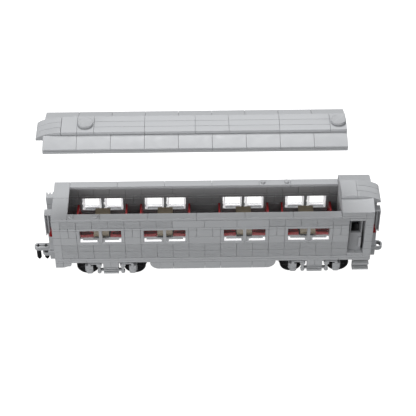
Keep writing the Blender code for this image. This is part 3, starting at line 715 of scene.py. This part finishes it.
def add_seat_bay(number):
    """Four chairs on black plinths, facing in pairs, with the aisle strip between them; plinths and strip
    are black as painted shade of the dark floor.
    """
    m = Moulding(f"seat_bay_{number + 1}_chairs", DARK_RED, BLACK)
    start = BAYS[number]
    for row, direction in ((start, 1), (start + 6 * STUD, -1)):
        for y in ((STUD + 0.4, 3 * STUD - 0.1), (4 * STUD + 0.1, 6 * STUD - 0.4)):
            # black plinths: painted shade of the dark interior floor
            m.finish = 1
            for half in (0, 1):
                x = sorted((row + direction * half * STUD, row + direction * (half + 1) * STUD))
                m.block((x[0] + 0.1, x[1] - 0.1), y, (FLOOR_Z, FLOOR_Z + BRICK - SEAM))
            m.finish = 0
            add_chair(m, row, direction, y)
    m.finish = 1
    aisle = (3 * STUD - 0.8, 4 * STUD + 0.8)
    for x in range(6):
        left = start + x * STUD
        m.block((left + 0.1, left + STUD - 0.1), aisle, (FLOOR_Z, FLOOR_Z + PLATE))
    m.piece("coach_body", f"seat_bay_{number + 1}", slot="dark_red_plastic")


def add_table(number):
    """Two table tops on round legs, joined by a plate near the floor."""
    m = Moulding(f"table_{number + 1}_top", DARK_TAN, BLACK)
    middle = BAYS[number] + 3 * STUD
    top = FLOOR_Z + 8 * PLATE
    neck = top - PLATE
    foot = FLOOR_Z + PLATE + GAP
    for near in (True, False):
        y = on_side(near, (STUD + GAP, 3 * STUD - 0.1))
        m.finish = 0
        m.block((middle - STUD + GAP, middle + STUD - GAP), y, (top - PLATE + 0.5, top))
        under = (middle - STUD + 1.0, middle + STUD - 1.0)
        m.block(under, (y[0] + 0.8, y[1] - 0.8), (neck, neck + 0.7))
        m.finish = 1
        centre = (middle, 2 * STUD if near else 5 * STUD)
        profile = ((foot, 2.4), (foot + 2.0, 2.4), (foot + 2.4, 2.0), (neck - 1.4, 2.0), (neck + 0.2, 2.4))
        m.turned(centre, "z", profile, 32)
    m.finish = 1
    m.block(around(middle, 2.4), (2 * STUD, 5 * STUD), (foot, foot + 1.9))
    m.piece("coach_body", f"table_{number + 1}", slot="dark_tan_plastic")


# ---------------------------------------------------------------- roofs


def slope_outline(z, near):
    """The section of one curved slope course, from the edge up to the ridge's side."""
    crown = z + 3 * PLATE
    edge = z + PLATE + SLOPE_EDGE
    depth = 2 * STUD
    points = [(0.0, z + PLATE), (0.0, edge)]
    steps = 10
    for i in range(1, steps + 1):
        t = i / steps
        points.append((depth * t, edge + (crown - edge) * (1 - (1 - t) ** 1.25)))
    points.append((depth, z + PLATE))
    if near:
        return points
    return [(WIDTH - y, height) for y, height in points]


def canopy_outline(root, tip, z):
    """The section of a curved end course: rounded from the ridge down to a thin tip."""
    top = z + ROOF_HEIGHT
    edge = z + PLATE + SLOPE_EDGE
    points = [(root, z + PLATE), (root, top)]
    steps = 16
    for i in range(1, steps + 1):
        t = i / steps
        curve = math.sqrt(1 - 0.96 * t**2) - 0.2 * t
        points.append((root + (tip - root) * t, edge + (top - edge) * curve))
    points.append((tip, z + PLATE))
    return points


def add_slopes(m, joints, z, near):
    """Slope bricks side by side along X."""
    for start, end in zip(joints, joints[1:]):
        m.prism(slope_outline(z, near), "x", seamed(start * STUD, end * STUD))


def add_canopy(m, root, tip, z):
    """Three curved bricks side by side across the ridge."""
    for row in range(3):
        y = RIDGE[0] + row * STUD
        m.prism(canopy_outline(root, tip, z), "y", seamed(y, y + STUD))


def add_end_roof():
    """The fixed roof over the entrance."""
    m = Moulding("end_roof_bricks", GREY)
    z = RAIL_TOP
    low = z + GAP
    for y in ((0.0, 2 * STUD), (2 * STUD + SEAM, 5 * STUD - SEAM), (5 * STUD, WIDTH)):
        m.course((36, 39, 40), y, (low, z + PLATE))
    for near in (True, False):
        add_slopes(m, (36, 40), z, near)
    m.course((36, 40), (RIDGE[0] + SEAM, RIDGE[1] - SEAM), (z + PLATE, z + 3 * PLATE))
    m.course((36, 38), RIDGE, (z + 3 * PLATE, z + 4 * PLATE + SEAM))
    tip = node_box("end_roof")[1].x
    add_canopy(m, tip - 3 * STUD + 0.6, tip, z)
    m.piece("coach_body", "end_roof")


def square_loop(corners, steps=10):
    """A square's outline in as many points as the round hole inside it."""
    points = []
    for (ax, ay), (bx, by) in zip(corners, corners[1:] + corners[:1]):
        for i in range(steps):
            points.append((ax + (bx - ax) * i / steps, ay + (by - ay) * i / steps))
    return points


def add_roof_plate():
    """The roof's base plates, with a socket over each stud of the top frame."""
    m = Moulding("roof_plate_plates", GREY)
    high = node_box("roof_plate")[1].z
    right = node_box("roof_plate")[1].x / STUD
    ledge = ROOF_Z + SOCKET_DEPTH
    for y in ((0.0, 3 * STUD), (3 * STUD + SEAM, 4 * STUD - SEAM), (4 * STUD, WIDTH)):
        m.course((0, 6, 14, 20, 28, right), y, (ledge, high + SEAM))
    for y, studs in (((0.0, STUD), NEAR_STUDS), ((WIDTH - STUD, WIDTH), FAR_STUDS)):
        edges = [0.0]
        for x in studs:
            low_x, high_x = around(x, STUD / 2)
            square = [(low_x, y[0]), (high_x, y[0]), (high_x, y[1]), (low_x, y[1])]
            socket = arc((x, sum(y) / 2), SOCKET_R, 225, 576, 39)
            m.frame(square_loop(square), socket, "z", (ROOF_Z, ledge))
            edges += [low_x, high_x]
        edges.append(right * STUD)
        for start, end in zip(edges[::2], edges[1::2]):
            m.block(seamed(start, end), y, (ROOF_Z, ledge))
    m.block((SEAM, right * STUD - SEAM), (STUD + SEAM, WIDTH - STUD - SEAM), (ROOF_Z, ledge))
    m.piece("roof", "roof_plate")


def add_roof_slope(near):
    """Four-stud slope bricks along one side of the lift-off roof."""
    m = Moulding(f"{side_name(near)}_roof_slope_bricks", GREY)
    right = node_box("roof_plate")[1].x / STUD
    for start, end in zip(range(0, 36, 4), range(4, 40, 4)):
        section = slope_outline(ROOF_Z, near)
        x = seamed(start * STUD, min(end, right) * STUD)
        inner = 2 * STUD - GAP
        if near:
            section = [(min(y, inner), z) for y, z in section]
        else:
            section = [(max(y, WIDTH - inner), z) for y, z in section]
        m.prism(section, "x", x)
    m.piece("roof", f"{side_name(near)}_roof_slope")


def add_roof_ridge():
    """A base course with long tiles on it, three abreast between the vents."""
    m = Moulding("roof_ridge_tiles", GREY)
    low, high = node_box("roof_ridge")
    left, right = low.x / STUD, high.x / STUD
    step = ROOF_Z + 3 * PLATE
    m.course((left, 4, 12, 20, 28, right), (RIDGE[0] + 0.05, RIDGE[1] - 0.05), (low.z, step))
    for start, end in ((left, 4), (4, 6), (34, right)):
        m.course((start, end), RIDGE, (step, high.z + SEAM))
    for row in range(3):
        y = (RIDGE[0] + row * STUD, RIDGE[0] + (row + 1) * STUD - SEAM)
        m.course((6, 12, 18, 22, 28, 34), y, (step, high.z + SEAM))
    m.piece("roof", "roof_ridge")


def add_roof_canopy():
    m = Moulding("roof_canopy_bricks", GREY)
    low, high = node_box("roof_canopy")
    add_canopy(m, high.x, low.x, ROOF_Z)
    m.piece("roof", "roof_canopy")


def add_vent(x, node):
    """A round plate with a stepped rim and a shallow dished top."""
    m = Moulding(f"{node}_disc", GREY)
    base = ROOF_Z + ROOF_HEIGHT + GAP
    top = node_box(node)[1].z
    rim = ((base, 7.0), (base + 0.5, VENT_R), (top - 0.9, VENT_R), (top - 0.25, 7.2), (top, 6.8))
    m.turned((x, MIDDLE), "z", (*rim, (top, 6.2), (top - 0.25, 5.9), (top - 0.3, 0.6)), 64)
    m.piece("roof", node)


# ---------------------------------------------------------------- ends


def add_gangway(left):
    """Ribbed posts each side of the end door, standing on plain legs and a threshold."""
    node = "left_gangway" if left else "right_gangway"
    m = Moulding(f"{node}_posts", GREY)
    low, high = node_box(node)
    face = high.x if left else low.x
    out = -1 if left else 1
    deep = high.x - low.x

    def x_span(a, b):
        return sorted((face + out * a, face + out * b))

    ribs_bottom = high.z - 3 * BRICK
    m.block(x_span(0, deep), (11.4, MIDDLE - SEAM), (FLOOR_Z - PLATE, FLOOR_Z))
    m.block(x_span(0, deep), (MIDDLE + SEAM, 44.6), (FLOOR_Z - PLATE, FLOOR_Z))
    for near in (True, False):
        core = on_side(near, POST_Y)
        ribbed = on_side(near, RIBBED_Y)
        for n in range(3):
            bottom = ribs_bottom + n * BRICK
            m.block(x_span(0, deep), core, (bottom, bottom + BRICK - SEAM))
        for i in range(3):
            start = i * (deep - RIB_WIDTH) / 2
            m.block(x_span(start, start + RIB_WIDTH), ribbed, (ribs_bottom, high.z))
        if near:
            m.block(x_span(0.1, deep - 0.1), (11.15, core[0] + 0.2), (high.z - 1.4, high.z - 0.15))
        m.block(x_span(LEG_X[0], LEG_X[1]), core, (FLOOR_Z, ribs_bottom - SEAM))
        link = FLOOR_Z + PLATE
        m.block(x_span(0, LEG_X[0] + 0.5), (core[0] + 1, core[1] - 1), (link, link + 1.2))
        m.block(x_span(0, 6.2), core, (low.z, FLOOR_Z - PLATE - SEAM))
    m.piece("coach_body", node)


def add_tail_lamp(left, near):
    """A clear red wedge, deepest at its foot."""
    node = f"{'left' if left else 'right'}_{side_name(near)}_tail_lamp"
    m = Moulding(f"{node}_lens", CLEAR_RED, edge=0.45)
    low, high = node_box(node)
    face, tip = (high.x, low.x) if left else (low.x, high.x)
    out = -1 if left else 1
    outline = [(face, low.z), (tip, low.z), (tip, low.z + 2.6)]
    outline += [(face + out * 1.2, high.z), (face, high.z)]
    m.prism(outline, "y", (low.y, high.y))
    m.piece("coach_body", node, slot="clear_red_plastic")


def add_steps(near):
    """A top plate and two hanging treads, ribbed on top, with risers set back behind them in a darker grey
    that is painted shade under the treads.
    """
    node = f"{side_name(near)}_steps"
    m = Moulding(f"{node}_treads", GREY, PAINTED_SHADE_GREY)
    low, high = node_box(node)
    x = (low.x, high.x)
    top = high.z
    for front, bottom, depth in ((0.8, 1.2, 1.2), (0.8, 7.8, 1.5), (1.2, 15.4, 1.5)):
        m.block(x, on_side(near, (front, 7.6)), (top - bottom, top - bottom + depth))
    # risers in the painted-shade grey, standing in for the shadow under each tread
    m.finish = 1
    for bottom, upper in ((6.4, 1.1), (14.0, 7.7)):
        m.block(x, on_side(near, (6.2, 7.6)), (top - bottom, top - upper))
    m.finish = 0
    for level in (top - 6.3, top - 13.9):
        for i in range(4):
            y = 1.5 + i * 0.85
            m.block((x[0] + 0.8, x[1] - 0.8), on_side(near, (y, y + 0.45)), (level - 0.3, level + 0.18))
    m.piece("coach_body", node)


def add_door(near):
    """A plain leaf with a wide open light above and an upright pull handle; the leaf is a darker grey that
    is painted shade for its recess.
    """
    node = f"{side_name(near)}_door"
    # the leaf takes the painted-shade door grey
    m = Moulding(f"{node}_leaf", SHADED_DOOR_GREY, GREY)
    low, high = node_box(node)
    half = DOOR_HALF
    face = DOOR_AXIS_Y - half
    x = (low.x + half, high.x - 0.8)
    y = on_side(near, (face, DOOR_AXIS_Y + half))
    axis = (x[0], (y[0] + y[1]) / 2)
    stile = 1.2
    sill, head = RAIL_TOP - 26.8, RAIL_TOP - 9.6
    m.turned(axis, "z", ((low.z, half), (sill, half)), 32)
    m.turned(axis, "z", ((sill - 0.2, 0.7), (head + 0.2, 0.7)), 24)
    m.turned(axis, "z", ((head, half), (high.z, half)), 32)
    m.block((x[1] - stile, x[1]), y, (sill, head))
    m.block(x, y, (head, high.z))
    m.block(x, y, (low.z, sill))
    m.finish = 1
    grip_x = around(38.5 * STUD, GRIP_HALF)
    bottom, top = RAIL_TOP - 44.2, RAIL_TOP - 31.7
    m.block(grip_x, on_side(near, (face - 2.4, face - 1.0)), (bottom, top))
    for level in (bottom, top - 1.8):
        m.block(grip_x, on_side(near, (face - 1.2, DOOR_AXIS_Y)), (level, level + 1.8))
    m.piece(f"{node}_leaf", node)


# ---------------------------------------------------------------- running gear


def add_spring_pack(m, centre, near, top):
    """A bolster end over two spring bands and a base slab."""
    block = around(centre, 7.7)
    for half in ((block[0], centre - SEAM / 2), (centre + SEAM / 2, block[1])):
        m.block(half, on_side(near, (0.3, 6.4)), (top - 7.2, top))
    m.block(around(centre, 6.8), on_side(near, (4.2, 6.0)), (top - 15.9, top - 7.0))
    band = on_side(near, (0.5, 6.0))
    for bottom in (top - 9.4, top - 12.1):
        m.block(block, band, (bottom, bottom + 1.3))
    m.block(block, band, (top - 16.0, top - 13.6))


def add_hanger(m, x, near, top):
    """An upright link with a flared head and a round foot."""

    def at(along, down):
        return (x + along, top - down)

    foot = [at(-2.0, 13.8), at(-1.2, 13.3), at(-1.2, 7.0), at(1.2, 7.0), at(1.2, 13.3), at(2.0, 13.8)]
    foot += arc(at(0.0, 14.0), 2.0, 0, -180, 14)
    m.prism(foot, "y", on_side(near, (0.8, 4.8)))
    flare = [at(-2.7, 3.4), at(-2.7, 5.6), at(-1.2, 7.4), at(1.2, 7.4), at(2.7, 5.6), at(2.7, 3.4)]
    m.prism(flare, "y", on_side(near, (0.8, 4.8)))


def add_axle_box(m, cover, axle, near):
    """A cover with a round-headed boss and a lid, and the plate with the axle's hole behind it."""

    def at(along, up):
        return (cover + along, AXLE_Z + up)

    face = [at(-3.6, 4.2), at(-3.5, -4.4), at(-2.2, -5.4), at(2.2, -5.4), at(3.5, -4.4), at(3.6, 4.2)]
    m.prism(face, "y", on_side(near, (1.3, 3.0)))
    boss = face[1:5] + arc(at(0.0, -3.0), 3.5, 0, 180, 14)
    m.prism(boss, "y", on_side(near, (0.8, 1.5)))
    lid = [at(-2.3, -5.2), at(2.3, -5.2), *arc(at(0.0, -2.2), 2.3, 0, 180, 14)]
    m.prism(lid, "y", on_side(near, (0.3, 1.0)))
    corners = ((-1, -1), (1, -1), (1, 1), (-1, 1))
    hole = [(axle + a * 1.5, AXLE_Z + b * 1.5) for a, b in corners]
    plate = [(axle + a * 2.6, AXLE_Z + b * 3.9) for a, b in corners]
    m.frame(plate, hole, "y", on_side(near, (2.9, 6.4)))


def add_bogie(body, centre):
    """Bolster, side frames, spring packs, links, knobs and axle boxes."""
    m = Moulding(f"{body}_frame_parts", GREY)
    top = SILL_Z - GAP
    low = top - 6.0
    step = top - 0.6 * PLATE
    m.block(around(centre, 6.4), (5.0, WIDTH - 5.0), (low, step))
    m.block(around(centre, 5.8), (6.0, WIDTH - 6.0), (step - 0.1, top))
    m.turned((centre, MIDDLE), "z", ((low - 0.8, 4.4), (low + 0.1, 5.0), (low + 1.0, 5.0)), 40)
    for near in (True, False):
        add_spring_pack(m, centre, near, top)
        for side in (-1, 1):
            knob = centre + side * KNOB_OFFSET
            cover = centre + side * BOX_OFFSET
            inner = sorted((centre + side * 7.0, knob))
            outer = sorted((knob - side, cover + side))
            add_hanger(m, knob, near, top)
            m.block(inner, on_side(near, (1.6, 5.0)), (top - 13.5, top - 11.7))
            m.block(inner, on_side(near, (3.4, 5.4)), (top - 4.4, top - 2.4))
            m.block(outer, on_side(near, (1.6, 4.6)), (top - 4.0, top - 2.4))
            m.block(around(cover, 1.4), on_side(near, (0.9, 4.8)), (AXLE_Z + 4.0, top - 3.0))
            add_axle_box(m, cover, centre + side * AXLE_OFFSET, near)
    m.piece(body, f"{body}_frame")


def add_wheelset(number, body):
    """A steel axle and its two flanged wheels."""
    low, high = node_box(f"axle_{number}")
    x = (low.x + high.x) / 2
    rod = Moulding(f"axle_{number}_rod", STEEL)
    r = (high.x - low.x) / 2
    profile = ((low.y, r - 0.5), (low.y + 0.5, r), (high.y - 0.5, r), (high.y, r - 0.5))
    rod.turned((x, AXLE_Z), "y", profile, 32)
    rod.piece(body, f"axle_{number}", slot="axle_steel")
    for near in (True, False):
        node = f"{side_name(near)}_wheel_{number}"
        wheel = Moulding(f"{node}_disc", BLACK)
        face = WHEEL_FACE if near else WIDTH - WHEEL_FACE
        inward = 1 if near else -1
        hub, rim = 4.2, TREAD_R - 1.9
        front = ((0.0, r + 0.1), (0.0, hub), (1.3, hub + 0.7), (1.3, rim - 0.6), (0.0, rim))
        tread = ((0.0, TREAD_R - 0.5), (0.5, TREAD_R), (5.7, TREAD_R))
        flange = ((6.3, FLANGE_R - 0.05), (7.4, FLANGE_R - 0.05), (8.0, FLANGE_R - 0.8))
        back = ((8.0, rim), (6.7, rim - 0.6), (6.7, hub + 0.7), (8.0, hub), (8.0, r + 0.1))
        profile = [(face + inward * a, radius) for a, radius in front + tread + flange + back]
        wheel.turned((x, AXLE_Z), "y", profile, 96, ring=True)
        for i in range(SPOKES):
            angle = 2 * math.pi * (i + 0.5) / SPOKES
            spoke = Vector((math.cos(angle), math.sin(angle)))
            across = Vector((-spoke.y, spoke.x))
            taper = ((hub, -0.9), (rim, -0.6), (rim, 0.6), (hub, 0.9))
            corners = [spoke * a + across * b for a, b in taper]
            outline = [(x + c.x, AXLE_Z + c.y) for c in corners]
            wheel.prism(outline, "y", sorted((face + inward * 0.5, face + inward * 1.6)))
        wheel.piece(body, node, slot="black_plastic")


# ---------------------------------------------------------------- couplers


def arm_outline(start, end, radius):
    """The (x, y) outline of a round-ended bar along the middle of the coach."""
    left = arc((start, MIDDLE), radius, 90, 270, 20)
    right = arc((end, MIDDLE), radius, -90, 90, 20)
    return left + right


def add_left_coupler():
    """A thin link carried on two black axles, over a short lower arm."""
    m = Moulding("left_coupler_links", GREY, BLACK)
    low, high = node_box("left_coupler")
    radius = (high.y - low.y) / 2
    tip = low.x + radius
    pivot = high.x - radius
    top = high.z
    m.prism(arm_outline(tip, pivot, radius), "z", (top - 3.9, top))
    m.prism(arm_outline(tip + STUD, tip + 2 * STUD, radius), "z", (top - 11.4, top - 7.5))
    m.finish = 1
    for x in (tip, tip + STUD):
        profile = ((low.z, 1.1), (low.z + 0.5, 1.3))
        profile += ((low.z + 2.3, COUPLER_PIN_R), (top - 3.0, COUPLER_PIN_R))
        m.turned((x, MIDDLE), "z", profile, 32)
        for a, b in ((2.3, 0.85), (0.85, 2.3)):
            m.block(around(x, a), around(MIDDLE, b), (top - 1.0, top))
    m.block((tip + 1.0, tip + STUD - 1.0), around(MIDDLE, 0.55), (top - 1.0, top))
    m.piece("left_coupling", "left_coupler")


def add_right_coupler():
    """A flat bar with a wide ring at its tip."""
    m = Moulding("right_coupler_beam", GREY)
    low, high = node_box("right_coupler")
    z = (low.z, high.z)
    tip = high.x - EYE_RING_R
    pivot = low.x + ARM_R
    split = (tip + pivot) / 2 - 1.0
    last = 360 - 360 / EYE_SIDES
    ring = arc((tip, MIDDLE), EYE_RING_R, 0, last, EYE_SIDES - 1)
    eye = arc((tip, MIDDLE), EYE_R, 0, last, EYE_SIDES - 1)
    m.frame(ring, eye, "z", z)
    m.block((split + SEAM, tip - 4.2), around(MIDDLE, ARM_R), z)
    rounded = arc((pivot, MIDDLE), ARM_R, 90, 270, 24)
    outline = [(split, MIDDLE + ARM_R), *rounded, (split, MIDDLE - ARM_R)]
    hole = []
    for x, y in outline:
        way = Vector((x - pivot, y - MIDDLE)).normalized()
        hole.append((pivot + way.x * 2.6, MIDDLE + way.y * 2.6))
    m.frame(outline, hole, "z", z)
    m.piece("right_coupling", "right_coupler")


# ---------------------------------------------------------------- the coach


def build_coach():
    add_underframe()
    add_centre_skirt()
    add_top_frame()
    add_cross_wall("left_end_wall", (0.0, STUD), (0.0, WIDTH))
    add_cross_wall("right_end_wall", (DOORWAY[1], LENGTH), (0.0, WIDTH))
    add_cross_wall("vestibule_partition", (36 * STUD, 37 * STUD), (STUD + GAP, WIDTH - STUD - GAP))
    add_end_roof()
    for near in (True, False):
        add_lower_wall(near)
        add_upper_wall(near)
        add_steps(near)
        add_door(near)
        add_roof_slope(near)
        for number in range(4):
            add_window(near, number)
    for left in (True, False):
        add_gangway(left)
        for near in (True, False):
            add_tail_lamp(left, near)
    for number in range(4):
        add_seat_bay(number)
        add_table(number)
    add_roof_plate()
    add_roof_ridge()
    add_roof_canopy()
    for x, node in zip(VENTS, ("left_roof_vent", "right_roof_vent")):
        add_vent(x, node)
    for body, centre in BOGIES.items():
        add_bogie(body, centre)
    for number in range(1, 5):
        add_wheelset(number, f"wheelset_{number}")
    add_left_coupler()
    add_right_coupler()


# ---------------------------------------------------------------- camera, floor and light

CAMERA_PLACE = Vector((-0.0087, -0.9628, 0.9710))
CAMERA_YAW = 0.499
CAMERA_PITCH = 43.05
CAMERA_ROLL = -0.363
CAMERA_LENS = 113.09

FLOOR_REACH = 4.0
FLOOR_GLOW = 1.0
HORIZON = 1.8
ZENITH = 0.68
BEHIND = 0.35
GROUND = 0.04


def add_camera():
    """The viewing camera, from its place, its three angles and its lens."""
    data = bpy.data.cameras.new("view")
    data.lens = CAMERA_LENS
    data.sensor_width = 36.0
    camera = bpy.data.objects.new("view", data)
    bpy.context.scene.collection.objects.link(camera)
    yaw, pitch, roll = (math.radians(a) for a in (CAMERA_YAW, CAMERA_PITCH, CAMERA_ROLL))
    forward = Vector((math.sin(yaw) * math.cos(pitch), math.cos(yaw) * math.cos(pitch), -math.sin(pitch)))
    right = Vector((math.cos(yaw), -math.sin(yaw), 0.0))
    up = right.cross(forward)
    rolled = math.cos(roll) * right + math.sin(roll) * up
    over = math.cos(roll) * up - math.sin(roll) * right
    turn = Matrix((rolled, over, -forward)).transposed()
    camera.matrix_world = Matrix.Translation(CAMERA_PLACE) @ turn.to_4x4()
    bpy.context.scene.camera = camera


def add_floor():
    """A plain white sweep under the coach, which throws no light up at it."""
    mesh = bpy.data.meshes.new("floor")
    corners = [(a * FLOOR_REACH, b * FLOOR_REACH, 0) for a, b in ((-1, -1), (1, -1), (1, 1), (-1, 1))]
    mesh.from_pydata(corners, [], [(0, 1, 2, 3)])
    material, shader, _ = shader_of("floor_white")
    shader.inputs["Base Color"].default_value = (0.25, 0.25, 0.25, 1.0)
    shader.inputs["Roughness"].default_value = 0.9
    shader.inputs["Emission Color"].default_value = (1.0, 1.0, 1.0, 1.0)
    shader.inputs["Emission Strength"].default_value = FLOOR_GLOW
    mesh.materials.append(material)
    floor = bpy.data.objects.new("floor", mesh)
    bpy.context.scene.collection.objects.link(floor)
    floor.visible_diffuse = False
    floor.visible_glossy = False


def add_light(name, place, target, size, power):
    """A round soft lamp aimed at a target."""
    data = bpy.data.lights.new(name, "AREA")
    data.shape = "DISK"
    data.size = size
    data.energy = power
    lamp = bpy.data.objects.new(name, data)
    lamp.location = place
    lamp.rotation_euler = (Vector(target) - Vector(place)).to_track_quat("-Z", "Y").to_euler()
    bpy.context.scene.collection.objects.link(lamp)


def product(tree, first, second):
    """Two outputs multiplied."""
    node = tree.nodes.new("ShaderNodeMath")
    node.operation = "MULTIPLY"
    tree.links.new(first, node.inputs[0])
    tree.links.new(second, node.inputs[1])
    return node.outputs["Value"]


def add_lights():
    """A studio tent, brightest low down ahead of the coach and dim below, and two soft lamps."""
    world = bpy.data.worlds.new("studio")
    world.use_nodes = True
    tree = world.node_tree
    background = tree.nodes["Background"]
    background.inputs["Color"].default_value = (1.0, 1.0, 1.0, 1.0)
    way = tree.nodes.new("ShaderNodeTexCoord")
    parts = tree.nodes.new("ShaderNodeSeparateXYZ")
    tree.links.new(way.outputs["Generated"], parts.inputs["Vector"])
    ahead = spread(tree, parts.outputs["Y"], 1.0, BEHIND, -0.15, 0.25)
    height = spread(tree, parts.outputs["Z"], HORIZON, ZENITH, 0.25, 0.45)
    above = spread(tree, parts.outputs["Z"], GROUND, 1.0, -0.05, 0.05)
    strength = product(tree, product(tree, ahead, height), above)
    tree.links.new(strength, background.inputs["Strength"])
    bpy.context.scene.world = world
    add_light("left_softbox", (-0.95, -0.75, 0.30), (0, 0, 0.05), 0.5, 5.0)
    add_light("overhead_softbox", (0.0, 0.6, 1.4), (0, 0, 0.05), 0.7, 17.0)
    bpy.context.scene.view_settings.view_transform = "Standard"


build_coach()
add_camera()
add_floor()
add_lights()
